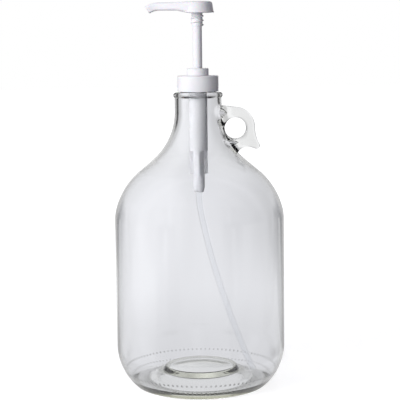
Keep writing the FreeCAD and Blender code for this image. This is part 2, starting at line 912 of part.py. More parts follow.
PIECES = [
    glass_jug,
    screw_closure,
    neck_gasket,
    locking_collar,
    stem_seal,
    pump_cylinder,
    inlet_ball,
    inlet_cage,
    return_spring,
    piston,
    pump_stem,
    piston_retainer,
    outlet_ball,
    pump_head,
    dip_tube,
]


def main():
    os.makedirs("parts", exist_ok=True)
    for make in PIECES:
        shape = make()
        print(make.__name__, shape.isValid(), len(shape.Solids), round(shape.Volume, 1), "mm3")
        shape.exportStep(f"parts/{make.__name__}.step")
    brimful = jug_inside().common(rod(body_radius, 0, z_lip)).Volume
    print("capacity to the lip", round(brimful / MM3_PER_LITRE, 3), "litres")
    print("height", round(z_head_top, 2), "mm")


if __name__ == "__main__":
    main()
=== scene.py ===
"""A clear glass jug with a finger loop and a white plunger pump, dressed piece by piece on its solids.

Metres, +Z up, in the solids' own frame: the jug's axis is Z, the spout points along -X and the
finger loop along +X. The glass and the spring are worked out here, and the moulded pieces keep their solids.
"""

import math
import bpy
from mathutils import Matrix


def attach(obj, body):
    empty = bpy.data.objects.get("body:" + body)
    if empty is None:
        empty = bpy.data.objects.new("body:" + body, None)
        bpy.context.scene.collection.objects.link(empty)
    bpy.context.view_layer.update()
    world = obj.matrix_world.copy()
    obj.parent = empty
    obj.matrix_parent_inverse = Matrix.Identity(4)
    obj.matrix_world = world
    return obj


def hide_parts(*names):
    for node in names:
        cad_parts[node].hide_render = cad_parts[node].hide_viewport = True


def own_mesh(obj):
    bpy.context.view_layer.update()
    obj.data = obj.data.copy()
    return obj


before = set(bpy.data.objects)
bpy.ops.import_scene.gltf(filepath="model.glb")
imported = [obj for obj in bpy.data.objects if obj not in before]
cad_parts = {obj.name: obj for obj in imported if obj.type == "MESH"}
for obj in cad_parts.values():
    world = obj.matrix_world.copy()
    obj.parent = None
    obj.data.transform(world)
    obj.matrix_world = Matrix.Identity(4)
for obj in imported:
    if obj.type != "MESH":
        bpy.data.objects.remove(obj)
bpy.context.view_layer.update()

from types import SimpleNamespace

import bpy
import numpy as np
from bpy.props import FloatProperty, FloatVectorProperty, IntProperty, PointerProperty
from bpy.types import Operator, Panel, PropertyGroup
from mathutils import Matrix, Vector

bl_info = {
    "name": "Pump oil bottle",
    "version": (1, 0, 0),
    "blender": (4, 5, 0),
    "location": "View3D > Sidebar > Bottle",
    "description": "Dresses a glass jug and its plunger pump, piece by piece",
    "category": "Object",
}

QUARTER = math.pi / 2


# Kinds of property
def length(name, description, default):
    return FloatProperty(name=name, description=description, default=default, unit="LENGTH", precision=5)


def angle(name, description, degrees):
    return FloatProperty(name=name, description=description, default=math.radians(degrees), subtype="ANGLE")


def number(name, description, default):
    return FloatProperty(name=name, description=description, default=default, precision=4)


def count(name, description, default):
    return IntProperty(name=name, description=description, default=default, min=3)


def colour(name, description, default):
    kind = {"subtype": "COLOR", "min": 0, "max": 1}
    return FloatVectorProperty(name=name, description=description, default=default, **kind)


class JugSizes(PropertyGroup):
    """Sizes of the blown glass jug."""

    body_radius: length("Body radius", "Outside of the body", 0.084)
    straight_height: length("Straight height", "Height of the body's straight side", 0.125668)
    wall: length("Wall", "Thickness of the neck's glass", 0.0036)
    body_wall: length("Body wall", "Thickness of the glass below the neck", 0.0021)
    contact_inset: length("Contact inset", "From the body's side in to the ring it stands on", 0.023)
    bearing_width: length("Bearing width", "Width of the ring it stands on", 0.010)
    heel_radius: length("Heel radius", "Large round between side and base", 0.054)
    heel_corner: length("Heel corner", "Small round at the foot of the heel", 0.008)
    inner_corner: length("Inner corner", "Round inside, between base and heel", 0.009)
    base_thickness: length("Base thickness", "Glass under that round", 0.0065)
    inner_cone_inset: length("Inner cone inset", "From the body's side in to the inner cone's foot", 0.024)
    inner_cone_height: length("Inner cone height", "Rise of the cone inside", 0.0075)
    cone_width: length("Cone width", "Run of the shallow cone inside the bearing ring", 0.011)
    cone_height: length("Cone height", "Rise of that cone", 0.0035)
    punt_step_width: length("Punt step width", "Run of the step inside the cone", 0.006)
    punt_step_height: length("Punt step height", "Rise of that step", 0.0055)
    punt_dome_height: length("Punt dome height", "Rise of the dome inside the step", 0.002)
    under_step_width: length("Under step width", "Run of the soft step underneath", 0.012)
    inner_step_width: length("Inner step width", "Run of the steeper step inside", 0.0042)
    blend_radius: length("Shoulder blend", "Round between side and shoulder", 0.045)
    blend_angle: angle("Shoulder blend angle", "Turn of that round", 16)
    slope_angle: angle("Slope angle", "Lean of the straight slope under the neck", 50)
    slope_run: length("Slope run", "How far the slope runs outwards", 0.0137)
    neck_curve: length("Neck curve", "Hollow curve from slope to neck", 0.062)
    neck_radius: length("Neck radius", "Outside of the neck", 0.0232)
    neck_height: length("Neck height", "Straight neck under the transfer ring", 0.0127)
    ring_radius: length("Ring radius", "Outside of the transfer ring", 0.0245)
    ring_thickness: length("Ring thickness", "Height of the transfer ring", 0.006)
    finish_height: length("Finish height", "From the transfer ring to the lip", 0.0122)
    finish_radius: length("Finish radius", "Outside of the threaded finish", 0.0177)
    finish_bore: length("Finish bore", "Inside of the mouth", 0.0146)
    bore_flare: length("Bore flare", "Height over which the bore narrows", 0.0032)
    bore_rise: length("Bore rise", "From the ring's top up to the narrow bore", 0.0006)
    lip_round: length("Lip round", "Round of the lip's edges", 0.0012)
    segments: count("Segments", "Points round the jug", 208)


class ThreadSizes(PropertyGroup):
    """Sizes of the screw ridge on the jug's finish."""

    pitch: length("Pitch", "Rise of one turn", 0.004233)
    turns: number("Turns", "Length of the ridge in turns", 1.1)
    depth: length("Depth", "Height of the ridge off the finish", 0.00095)
    root_width: length("Root width", "Width where it leaves the finish", 0.0022)
    crest_width: length("Crest width", "Width of its top", 0.0011)
    lip_drop: length("Lip drop", "From the lip down to its start", 0.0086)
    sink: length("Sink", "How deep its foot runs into the finish", 0.0003)
    fade: number("Fade", "Share of the ridge that runs out at each end", 0.06)


class LoopSizes(PropertyGroup):
    """Sizes of the finger loop and of the blown hollows in its two roots."""

    hole_radius: length("Hole radius", "Radius of the finger hole", 0.0105)
    hole_offset: length("Hole offset", "From the neck out to the hole's centre", 0.0133)
    hole_drop: length("Hole drop", "From the transfer ring down to the hole's centre", 0.0298)
    band: length("Band", "Glass round the top of the hole", 0.0088)
    crown_lift: length("Crown lift", "How far the crown's centre is over the hole's", 0.0016)
    root_rise: length("Root rise", "Rise of the top edge towards the neck", 0.0036)
    thickness: length("Thickness", "Thickness of the loop", 0.011)
    edge_round: length("Edge round", "Round of the loop's edges", 0.0018)
    flank_radius: length("Flank radius", "Hollow curve down to the tip", 0.036)
    flank_drop: length("Flank drop", "Height of that curve", 0.0174)
    tip_radius: length("Tip radius", "Round of the thumb tip", 0.0034)
    tip_turn: angle("Tip turn", "Turn of the thumb tip", 138)
    web: length("Web", "Glass under the hole", 0.008)
    arch_radius: length("Arch radius", "Round under the tip", 0.0114)
    arch_offset: length("Arch offset", "From the hole's centre out to the arch's", 0.012)
    arch_start: angle("Arch start", "Where the arch meets the tip", 80)
    arch_end: angle("Arch end", "Where the arch meets the shoulder", 165)
    root_depth: length("Root depth", "How far the lower root runs down into the shoulder", 0.006)
    upper_depth: length("Upper hollow", "Depth of the hollow in the upper root", 0.0084)
    upper_drop: length("Upper hollow drop", "From the transfer ring down to it", 0.0145)
    lower_depth: length("Lower hollow", "Depth of the hollow in the lower root", 0.0122)
    lower_drop: length("Lower hollow drop", "From the transfer ring down to it", 0.0436)
    hollow_width: length("Hollow width", "Half width of both hollows", 0.0056)
    root_flare: number("Root flare", "Share by which the loop thickens where it meets the jug", 0.6)
    flare_reach: length("Flare reach", "Distance over which that falls away", 0.0035)


class SpringSizes(PropertyGroup):
    """Sizes of the return spring in the cylinder."""

    foot: length("Foot", "Height of the cage that it stands on", 0.2382)
    open_length: length("Open length", "Length with the plunger up", 0.049)
    shut_length: length("Shut length", "Length with the plunger down", 0.0085)
    wire: length("Wire", "Diameter of the wire", 0.0009)
    radius: length("Coil radius", "From the axis to the wire's centre", 0.0052)
    turns: number("Turns", "Turns of the coil", 7.5)
    end_gap: length("End gap", "Play at each end", 0.00002)


class Finishes(PropertyGroup):
    """Colours of the finishes."""

    glass: colour("Glass", "Tint of the glass's surface", (0.966, 0.971, 0.997))
    glass_depth: colour("Glass depth", "Tint that thick glass takes", (0.89, 0.895, 0.68))
    white: colour("White plastic", "Moulded white plastic", (0.85, 0.845, 0.88))
    natural: colour("Natural plastic", "Unpigmented plastic", (0.96, 0.96, 0.97))
    tube: colour("Tube", "Clear drawn tube", (0.975, 0.98, 0.985))
    tube_haze: colour("Tube haze", "Hazy parts of that tube", (0.95, 0.955, 0.965))
    steel: colour("Steel", "Stainless spring and balls", (0.62, 0.62, 0.64))
    seal: colour("Seal", "Soft white seals", (0.70, 0.70, 0.68))


class StageSizes(PropertyGroup):
    """Camera, floor and light."""

    camera_distance: length("Camera distance", "From the jug's axis to the camera", 1.300)
    camera_height: length("Camera height", "Over the floor", 0.3459)
    camera_pitch: angle("Camera pitch", "Look down from the level", 7)
    camera_roll: angle("Camera roll", "Turn of the picture", -0.68)
    focal_pixels: number("Focal length", "In pixels of the frame", 1316.5)
    frame_pixels: number("Frame", "Width of the picture in pixels", 400)
    centre_pixels: number("Centre", "Where the axis meets the picture's middle row, in pixels", 199.2)
    floor_radius: length("Floor radius", "Radius of the round floor", 8.0)
    floor_colour: colour("Floor colour", "Pale floor", (0.52, 0.52, 0.53))


# Shader expressions
class Wire:
    """A socket in a shader expression. An operator on it adds a Math node and gives that node's output."""

    def __init__(self, tree, socket):
        self.tree = tree
        self.socket = socket

    def math(self, operation, *values):
        return self.tree.add("Math", dict(enumerate(values)), {"operation": operation})

    def out(self, name):
        """Another output of the same node."""
        return Wire(self.tree, self.socket.node.outputs[name])

    def __add__(self, other):
        return self.math("ADD", self, other)

    __radd__ = __add__

    def __sub__(self, other):
        return self.math("SUBTRACT", self, other)

    def __rsub__(self, other):
        return self.math("SUBTRACT", other, self)

    def __mul__(self, other):
        return self.math("MULTIPLY", self, other)

    __rmul__ = __mul__

    def __truediv__(self, other):
        return self.math("DIVIDE", self, other)

    def __pow__(self, other):
        return self.math("POWER", self, other)

    def __abs__(self):
        return self.math("ABSOLUTE", self)


# Numbers of a colour mix's sockets
MIX = SimpleNamespace(factor=0, first=6, second=7, result=2)


class Tree:
    """The emptied node tree of a material or world."""

    def __init__(self, owner):
        self.owner = owner
        owner.use_nodes = True
        self.nodes = owner.node_tree.nodes
        self.links = owner.node_tree.links
        self.nodes.clear()

    def add(self, kind, inputs=None, settings=None, output=0):
        """A node of a kind, with its sockets' values or links and its settings. Gives one of its outputs."""
        node = self.nodes.new("ShaderNode" + kind)
        for key, value in (settings or {}).items():
            setattr(node, key, value)
        for key, value in (inputs or {}).items():
            if isinstance(value, Wire):
                self.links.new(value.socket, node.inputs[key])
            else:
                node.inputs[key].default_value = value
        return Wire(self, node.outputs[output]) if node.outputs else None

    def place(self):
        """Object coordinates, in metres."""
        return self.add("TexCoord", output="Object")

    def axes(self, vector):
        """The three numbers of a vector."""
        x = self.add("SeparateXYZ", {"Vector": vector})
        return x, x.out("Y"), x.out("Z")

    def stretched(self, vector, scale):
        """A vector with each of its numbers scaled."""
        return self.add("Mapping", {"Vector": vector, "Scale": scale})

    def noise(self, vector, scale, detail=2.0):
        return self.add("TexNoise", {"Vector": vector, "Scale": scale, "Detail": detail})

    def step(self, value, low, high):
        """0 below low, 1 above high and a smooth S between them. Low may be the larger."""
        inputs = {"Value": value, "From Min": low, "From Max": high}
        return self.add("MapRange", inputs, {"interpolation_type": "SMOOTHSTEP"})

    def blend(self, first, second, factor):
        """A colour between two colours."""
        inputs = {MIX.factor: factor, MIX.first: (*first, 1), MIX.second: (*second, 1)}
        return self.add("Mix", inputs, {"data_type": "RGBA"}, MIX.result)

    def mottled(self, rgb, shade, cloud):
        """A colour that a cloud darkens by a factor."""
        return self.blend(rgb, [channel * shade for channel in rgb], cloud)

    def bump(self, height):
        """A normal from a height in metres."""
        return self.add("Bump", {"Height": height, "Distance": 1.0, "Strength": 1.0})


def material_tree(name):
    return Tree(bpy.data.materials.new(name))


def finished(tree, base, roughness, height, others=None, volume=None):
    """A material that ends in one Principled shader and, where given, a volume."""
    inputs = {"Base Color": base, "Roughness": roughness, "Normal": tree.bump(height), **(others or {})}
    ends = {"Surface": tree.add("BsdfPrincipled", inputs)}
    if volume is not None:
        ends["Volume"] = volume
    tree.add("OutputMaterial", ends)
    return tree.owner


# Finishes
GLASS = SimpleNamespace(
    ior=1.5, roughness=0.004, density=10.0,
    wave_scale=38.0, wave_depth=0.000015, wave_roughness=0.008,
    waves_per_cloud=3,
    dot_count=104, dot_radius=0.0010, dot_heights=(0.0080, 0.0165), dot_inset=0.0135,
    # The dots' darker colour, a little uneven, is painted shade for the dark look that bent light gives
    # them.
    dot_edge=(0.3, 0.8), dot_depth=0.0002, dot_painted_shade=0.72, dot_cloud=0.3,
    knurl_count=190, knurl_depth=0.0001, knurl_roughness=0.15,
    loop_foot=(0.232, 0.238), loop_roughness=0.10,
    sharp_degrees=42.0,
)


def clear_glass(finishes, jug):
    """Blown clear glass: yellowish in depth, faintly wavy, with dots round its heel whose colour is darkened
    as painted shade, and a knurled foot.
    """
    tree = material_tree("clear_glass")
    place = tree.place()
    x, y, z = tree.axes(place)
    wave = tree.noise(place, GLASS.wave_scale, detail=1.0)
    cloud = tree.noise(place, GLASS.wave_scale / GLASS.waves_per_cloud)
    ring = (x * x + y * y) ** 0.5
    turn = y.math("ARCTAN2", y, x)
    low, high = GLASS.dot_heights
    off_row = abs(abs(z - (low + high) / 2) - (high - low) / 2)
    beads = tree.step(turn.math("COSINE", turn * GLASS.dot_count), *GLASS.dot_edge)
    dot_ring = jug.body_radius - GLASS.dot_inset
    heel = tree.step(ring, dot_ring - jug.wall / 2, dot_ring)
    dots = beads * tree.step(off_row, GLASS.dot_radius, GLASS.dot_radius / 2) * heel
    bearing = jug.body_radius - jug.contact_inset - jug.bearing_width
    foot = tree.step(ring, bearing - jug.wall, bearing) * tree.step(z, jug.wall / 2, jug.wall / 4)
    knurl = turn.math("COSINE", turn * GLASS.knurl_count) * foot
    loop = tree.step(x, jug.neck_radius, jug.neck_radius + jug.wall) * tree.step(z, *GLASS.loop_foot)
    height = wave * GLASS.wave_depth + dots * GLASS.dot_depth + knurl * GLASS.knurl_depth
    # Painted shade: the dots' colour is darkened, a little unevenly, where clear glass only looks dark from
    # bent light.
    shade = dots * (1 - GLASS.dot_cloud + GLASS.dot_cloud * cloud)
    dullness = wave * GLASS.wave_roughness + loop * GLASS.loop_roughness + foot * GLASS.knurl_roughness
    absorption = {"Color": (*finishes.glass_depth, 1), "Density": GLASS.density}
    return finished(
        tree,
        base=tree.mottled(finishes.glass, GLASS.dot_painted_shade, shade),
        roughness=GLASS.roughness + dullness,
        height=height,
        others={"IOR": GLASS.ior, "Transmission Weight": 1.0},
        volume=tree.add("VolumeAbsorption", absorption),
    )


WHITE = SimpleNamespace(
    ior=1.49, roughness=0.26, shade=0.95,
    scatter=0.12, scatter_depth=0.0012,
    grain_scale=1500.0, grain_depth=0.000006, grain_roughness=0.04,
    cloud_scale=120.0, cloud_roughness=0.12,
    flow_scale=420.0, flow_stretch=(1.0, 1.0, 0.12), flow_depth=0.000012,
    seam_half_width=0.00012, seam_depth=0.00003,
)


def moulded_white(finishes):
    """White moulded plastic: a fine grain, clouded gloss and a parting seam in the plane of the spout."""
    tree = material_tree("moulded_white")
    place = tree.place()
    across = tree.axes(place)[1]
    grain = tree.noise(place, WHITE.grain_scale, detail=3.0)
    cloud = tree.noise(place, WHITE.cloud_scale, detail=3.0)
    flow = tree.noise(tree.stretched(place, WHITE.flow_stretch), WHITE.flow_scale)
    seam = tree.step(abs(across), WHITE.seam_half_width, WHITE.seam_half_width / 3)
    return finished(
        tree,
        base=tree.mottled(finishes.white, WHITE.shade, cloud),
        roughness=WHITE.roughness + cloud * WHITE.cloud_roughness + grain * WHITE.grain_roughness,
        height=grain * WHITE.grain_depth + flow * WHITE.flow_depth + seam * WHITE.seam_depth,
        others={
            "IOR": WHITE.ior,
            "Subsurface Weight": WHITE.scatter,
            "Subsurface Scale": WHITE.scatter_depth,
        },
    )


NATURAL = SimpleNamespace(
    ior=1.5, roughness=0.30, shade=0.94,
    cloud_scale=160.0, cloud_roughness=0.10,
    draw_scale=1400.0, draw_stretch=(1.0, 1.0, 0.03), draw_depth=0.00001, draw_roughness=0.06,
)


def natural_plastic(finishes):
    """Unpigmented plastic: cloudy and satin, with fine draw lines along its length."""
    tree = material_tree("natural_plastic")
    place = tree.place()
    cloud = tree.noise(place, NATURAL.cloud_scale, detail=3.0)
    draw = tree.noise(tree.stretched(place, NATURAL.draw_stretch), NATURAL.draw_scale)
    return finished(
        tree,
        base=tree.mottled(finishes.natural, NATURAL.shade, cloud),
        roughness=NATURAL.roughness + cloud * NATURAL.cloud_roughness + draw * NATURAL.draw_roughness,
        height=draw * NATURAL.draw_depth,
        others={"IOR": NATURAL.ior},
    )


TUBE = SimpleNamespace(
    ior=1.03, roughness=0.03,
    cloud_scale=90.0, cloud_roughness=0.04,
    draw_scale=1100.0, draw_stretch=(1.0, 1.0, 0.04), draw_depth=0.000012,
)


def drawn_tube(finishes):
    """Clear drawn plastic tube: faintly hazy, with draw lines along its length."""
    tree = material_tree("drawn_tube")
    place = tree.place()
    cloud = tree.noise(place, TUBE.cloud_scale, detail=3.0)
    draw = tree.noise(tree.stretched(place, TUBE.draw_stretch), TUBE.draw_scale)
    return finished(
        tree,
        base=tree.blend(finishes.tube, finishes.tube_haze, cloud),
        roughness=TUBE.roughness + cloud * TUBE.cloud_roughness,
        height=draw * TUBE.draw_depth,
        others={"IOR": TUBE.ior, "Transmission Weight": 1.0},
    )


SEAL = SimpleNamespace(
    roughness=0.62, shade=0.88,
    skin_scale=2200.0, skin_depth=0.00001, skin_roughness=0.16,
    dust_scale=300.0,
)


def soft_seal(finishes):
    """Soft white seal: matt, with a fine skin and a little dust."""
    tree = material_tree("soft_seal")
    place = tree.place()
    skin = tree.noise(place, SEAL.skin_scale, detail=4.0)
    dust = tree.noise(place, SEAL.dust_scale, detail=4.0)
    return finished(
        tree,
        base=tree.mottled(finishes.seal, SEAL.shade, dust),
        roughness=SEAL.roughness + skin * SEAL.skin_roughness,
        height=skin * SEAL.skin_depth,
    )


STEEL = SimpleNamespace(
    roughness=0.08, shade=0.9,
    haze_scale=2600.0, haze_depth=0.000002, haze_roughness=0.08,
)


def polished_steel(finishes):
    """Polished stainless ball: bright, with a fine lapped haze."""
    tree = material_tree("polished_steel")
    place = tree.place()
    haze = tree.noise(place, STEEL.haze_scale, detail=4.0)
    return finished(
        tree,
        base=tree.mottled(finishes.steel, STEEL.shade, haze),
        roughness=STEEL.roughness + haze * STEEL.haze_roughness,
        height=haze * STEEL.haze_depth,
        others={"Metallic": 1.0},
    )


SPRING_STEEL = SimpleNamespace(
    roughness=0.22, shade=0.8,
    line_scale=3.0, line_stretch=(6.0, 40.0, 1.0), line_depth=0.000006, line_roughness=0.16,
    sharp_degrees=60.0,
)


def drawn_wire(finishes):
    """Drawn stainless wire: fine lines that follow the wire, which the piece's own map runs along."""
    tree = material_tree("drawn_wire")
    along = tree.add("UVMap", settings={"uv_map": "along"})
    lines = tree.noise(tree.stretched(along, SPRING_STEEL.line_stretch), SPRING_STEEL.line_scale, detail=4.0)
    return finished(
        tree,
        base=tree.mottled(finishes.steel, SPRING_STEEL.shade, lines),
        roughness=SPRING_STEEL.roughness + lines * SPRING_STEEL.line_roughness,
        height=lines * SPRING_STEEL.line_depth,
        others={"Metallic": 1.0},
    )


# Profiles in the r-z plane
SAME_POINT = 1e-7


def arc(centre, radius, start, end, points):
    """Points of a circle about a centre, evenly spaced between two angles, from +r towards +z."""
    a = np.linspace(start, end, points)
    return np.stack([centre[0] + radius * np.cos(a), centre[1] + radius * np.sin(a)], axis=1)


def straight(start, end, points):
    """Points evenly spaced on a line, both ends among them."""
    return np.linspace(start, end, points)


def joined(*runs):
    """Runs of points one after another, without the points that repeat."""
    points = np.concatenate(runs)
    far = np.linalg.norm(np.diff(points, axis=0), axis=1) > SAME_POINT
    return points[np.concatenate([[True], far])]


def eased(t):
    """A smooth S from 0 at t = 0 to 1 at t = 1: t squared times 3 - 2 t."""
    t = np.clip(t, 0.0, 1.0)
    return t * t * (3 - 2 * t)


def pushed_up(jug, j, lift, step_width, cone_height, foot, points):
    """The base from the axis out to the cone's foot: a flat dome, a soft step and a soft cone, added up."""
    r = np.linspace(0.0, foot, points)
    dome = jug.punt_dome_height * np.clip(1 - (r / j.punt) ** 2, 0, 1) ** 2
    step = jug.punt_step_height * eased(((j.cone + j.punt) / 2 - r) / step_width + 0.5)
    cone = cone_height * eased((foot - r) / (foot - j.cone))
    return np.stack([r, lift + dome + step + cone], axis=1)


def jug_levels(jug):
    """Heights, radii and arc centres of the jug that follow from its sizes."""
    j = SimpleNamespace()
    sin_slope = math.sin(jug.slope_angle)
    cos_slope = math.cos(jug.slope_angle)
    sin_blend = math.sin(jug.blend_angle)
    cos_blend = math.cos(jug.blend_angle)
    j.contact = jug.body_radius - jug.contact_inset
    j.bearing = j.contact - jug.bearing_width
    j.cone = j.bearing - jug.cone_width
    j.punt = j.cone - jug.punt_step_width
    heel_hub = jug.heel_radius - jug.contact_inset
    heel_chord = math.sqrt((jug.heel_radius - jug.heel_corner) ** 2 - heel_hub**2)
    slope_top = jug.neck_radius + jug.neck_curve * (1 - cos_slope)
    slope_foot = slope_top + jug.slope_run
    blend_run = jug.blend_radius * (1 - cos_blend)
    j.shoulder = (jug.body_radius - slope_foot - blend_run) / (cos_blend - cos_slope)
    j.z_heel = jug.heel_corner + heel_chord
    j.z_body_top = j.z_heel + jug.straight_height
    z_slope_foot = j.z_body_top + jug.blend_radius * sin_blend + j.shoulder * (sin_slope - sin_blend)
    j.z_neck = z_slope_foot + jug.slope_run * cos_slope / sin_slope + jug.neck_curve * sin_slope
    j.z_ring = j.z_neck + jug.neck_height
    j.z_ring_top = j.z_ring + jug.ring_thickness
    j.z_lip = j.z_ring_top + jug.finish_height
    j.neck_centre = (jug.neck_radius + jug.neck_curve, j.z_neck)
    j.shoulder_centre = (slope_foot - j.shoulder * cos_slope, z_slope_foot - j.shoulder * sin_slope)
    j.blend_centre = (jug.body_radius - jug.blend_radius, j.z_body_top)
    j.heel_centre = (jug.body_radius - jug.heel_radius, j.z_heel)
    j.heel_angle = -math.atan2(heel_chord, heel_hub)
    return j


def outside_profile(jug, j):
    """The jug's outside, from the dome under its base to the middle of its mouth: arcs and straight runs."""
    bead = jug.ring_thickness / 2
    ring_foot = -math.acos((jug.neck_radius - jug.ring_radius + bead) / bead)
    z_ring_foot = j.z_ring + bead * (1 + math.sin(ring_foot))
    lip_centre = (jug.finish_radius - jug.lip_round, j.z_lip - jug.lip_round)
    slope_end = math.pi + jug.slope_angle
    return joined(
        pushed_up(jug, j, 0.0, jug.under_step_width, jug.cone_height, j.bearing, points=52),
        straight((j.bearing, 0.0), (j.contact, 0.0), points=6),
        arc((j.contact, jug.heel_corner), jug.heel_corner, -QUARTER, j.heel_angle, points=8),
        arc(j.heel_centre, jug.heel_radius, j.heel_angle, 0.0, points=26),
        straight((jug.body_radius, j.z_heel), (jug.body_radius, j.z_body_top), points=6),
        arc(j.blend_centre, jug.blend_radius, 0.0, jug.blend_angle, points=10),
        arc(j.shoulder_centre, j.shoulder, jug.blend_angle, jug.slope_angle, points=22),
        arc(j.neck_centre, jug.neck_curve, slope_end, math.pi, points=40),
        straight((jug.neck_radius, j.z_neck), (jug.neck_radius, z_ring_foot), points=12),
        arc((jug.ring_radius - bead, j.z_ring + bead), bead, ring_foot, QUARTER, points=14),
        straight((jug.finish_radius, j.z_ring_top), (jug.finish_radius, lip_centre[1]), points=5),
        arc(lip_centre, jug.lip_round, 0.0, QUARTER, points=6),
        straight((lip_centre[0], j.z_lip), (0.0, j.z_lip), points=3),
    )


def inside_profile(jug, j):
    """The space in the jug, from its floor to over its mouth: the outside moved in by the wall."""
    cone_foot = jug.body_radius - jug.inner_cone_inset
    corner_z = jug.base_thickness + jug.inner_corner
    inner_heel = jug.heel_radius - jug.body_wall
    inner_body = jug.body_radius - jug.body_wall
    reach = math.sqrt((inner_heel - jug.inner_corner) ** 2 - (j.z_heel - corner_z) ** 2)
    corner_centre = (j.heel_centre[0] + reach, corner_z)
    heel_angle = -math.atan2(j.z_heel - corner_z, reach)
    mouth = jug.finish_bore + jug.lip_round
    inner_neck = jug.neck_radius - jug.wall
    z_bore = j.z_ring_top + jug.bore_rise
    t = np.linspace(0, 1, 14)
    flare_r = inner_neck + (jug.finish_bore - inner_neck) * eased(t)
    flare = np.stack([flare_r, z_bore + jug.bore_flare * (t - 1)], axis=1)
    z_over = j.z_lip + jug.lip_round
    cone_height = jug.inner_cone_height
    base = pushed_up(jug, j, jug.base_thickness, jug.inner_step_width, cone_height, cone_foot, points=80)
    slope_end = math.pi + jug.slope_angle
    return joined(
        base,
        straight((cone_foot, jug.base_thickness), (corner_centre[0], jug.base_thickness), points=4),
        arc(corner_centre, jug.inner_corner, -QUARTER, heel_angle, points=8),
        arc(j.heel_centre, inner_heel, heel_angle, 0.0, points=22),
        straight((inner_body, j.z_heel), (inner_body, j.z_body_top), points=4),
        arc(j.blend_centre, jug.blend_radius - jug.body_wall, 0.0, jug.blend_angle, points=9),
        arc(j.shoulder_centre, j.shoulder - jug.body_wall, jug.blend_angle, jug.slope_angle, points=16),
        arc(j.neck_centre, jug.neck_curve + jug.wall, slope_end, math.pi, points=84),
        straight((inner_neck, j.z_neck), (inner_neck, z_bore - jug.bore_flare), points=10),
        flare,
        straight((jug.finish_bore, z_bore), (jug.finish_bore, j.z_lip - jug.lip_round), points=4),
        arc((mouth, j.z_lip - jug.lip_round), jug.lip_round, math.pi, QUARTER, points=6),
        straight((mouth, z_over), (0.0, z_over), points=3),
    )


# Meshes
def cells(rows, columns, round_rows=False):
    """Corner numbers of the cells of a grid of points that closes on itself along its columns."""
    i = np.arange(rows if round_rows else rows - 1)[:, None]
    j = np.arange(columns)[None, :]
    up = (i + 1) % rows
    on = (j + 1) % columns
    corners = [i * columns + j, i * columns + on, up * columns + on, up * columns + j]
    return np.stack(corners, axis=-1).reshape(-1, 4)


def fan(ring, pole):
    """Triangles between a ring of points and one point."""
    return np.stack([ring, np.roll(ring, -1), np.full_like(ring, pole)], axis=1)


def mesh_of(name, points, *faces):
    mesh = bpy.data.meshes.new(name)
    mesh.from_pydata(points.tolist(), [], [corners for block in faces for corners in block.tolist()])
    mesh.update()
    return mesh


def about_z(r, a, z):
    """Points round the axis: r cos a, r sin a, z."""
    return np.stack(np.broadcast_arrays(r * np.cos(a), r * np.sin(a), z), axis=-1)


def round_angles(points):
    """Angles evenly spaced round a circle."""
    return np.arange(points) * (2 * math.pi / points)


def capped(name, rings, poles):
    """A closed mesh of rings of points, one after another, with a pole at each end."""
    rows, columns = rings.shape[:2]
    ring = np.arange(columns)
    first = rows * columns
    points = np.concatenate([rings.reshape(-1, 3), poles])
    ends = fan(ring[::-1], first), fan(first - columns + ring, first + 1)
    return mesh_of(name, points, cells(rows, columns), *ends)


def turned(name, profile, segments, swell=None):
    """A closed solid turned about Z, where swell(r, z, a) may add to the profile's r."""
    a = round_angles(segments)
    r, z = profile[1:-1, :1], profile[1:-1, 1:]
    rings = about_z(r + swell(r, z, a) if swell else r, a, z)
    return capped(name, rings, about_z(0.0, 0.0, profile[[0, -1], 1]))


# How far each blown hollow falls away upwards and downwards
HOLLOW_FALLS = SimpleNamespace(upper=(0.0046, 0.0046), lower=(0.0011, 0.0036))


def hollow(loop, z_ring):
    """The blown hollows, which swell the inside: a bell across the loop times an uneven bell along Z."""

    def bell(z, z0, falls):
        up, down = falls
        return np.exp(-(((z - z0) / np.where(z > z0, up, down)) ** 2))

    def swell(radius, z, a):
        across = np.exp(-((radius * np.sin(a) / loop.hollow_width) ** 2)) * (np.cos(a) > 0)
        upper = loop.upper_depth * bell(z, z_ring - loop.upper_drop, HOLLOW_FALLS.upper)
        lower = loop.lower_depth * bell(z, z_ring - loop.lower_drop, HOLLOW_FALLS.lower)
        return across * (upper + lower)

    return swell


def loop_outline(jug, loop, j):
    """The finger loop's edge in the X-Z plane, as arcs, with its roots run on into the neck."""
    hole = np.array([jug.neck_radius + loop.hole_offset, j.z_ring - loop.hole_drop])
    crown = hole + (0.0, loop.crown_lift)
    crown_radius = loop.hole_radius + loop.band
    flank = crown + (crown_radius + loop.flank_radius, 0.0)
    flank_angle = math.asin(loop.flank_drop / loop.flank_radius)
    flank_arc = arc(flank, loop.flank_radius, math.pi, math.pi + flank_angle, points=14)
    tip = arc(flank_arc[-1], loop.tip_radius, math.pi + flank_angle, math.pi + flank_angle, points=1)[0]
    arch = hole + (loop.arch_offset, -loop.hole_radius - loop.web - loop.arch_radius)
    arch_arc = arc(arch, loop.arch_radius, loop.arch_start, loop.arch_end, points=16)
    root_x, root_z = arch_arc[-1] - (0.0, loop.root_depth)
    inner_x = jug.finish_bore / 2
    top = (inner_x, crown[1] + crown_radius + loop.root_rise)
    edge = joined(
        straight(top, crown + (0.0, crown_radius), points=16),
        arc(crown, crown_radius, QUARTER, 0.0, points=24),
        flank_arc,
        arc(tip, loop.tip_radius, flank_angle, flank_angle - loop.tip_turn, points=12),
        arch_arc,
        straight(arch_arc[-1], (root_x, root_z), points=4),
        straight((root_x, root_z), (inner_x, root_z), points=10),
        straight((inner_x, root_z), top, points=20)[:-1],
    )
    return edge, hole


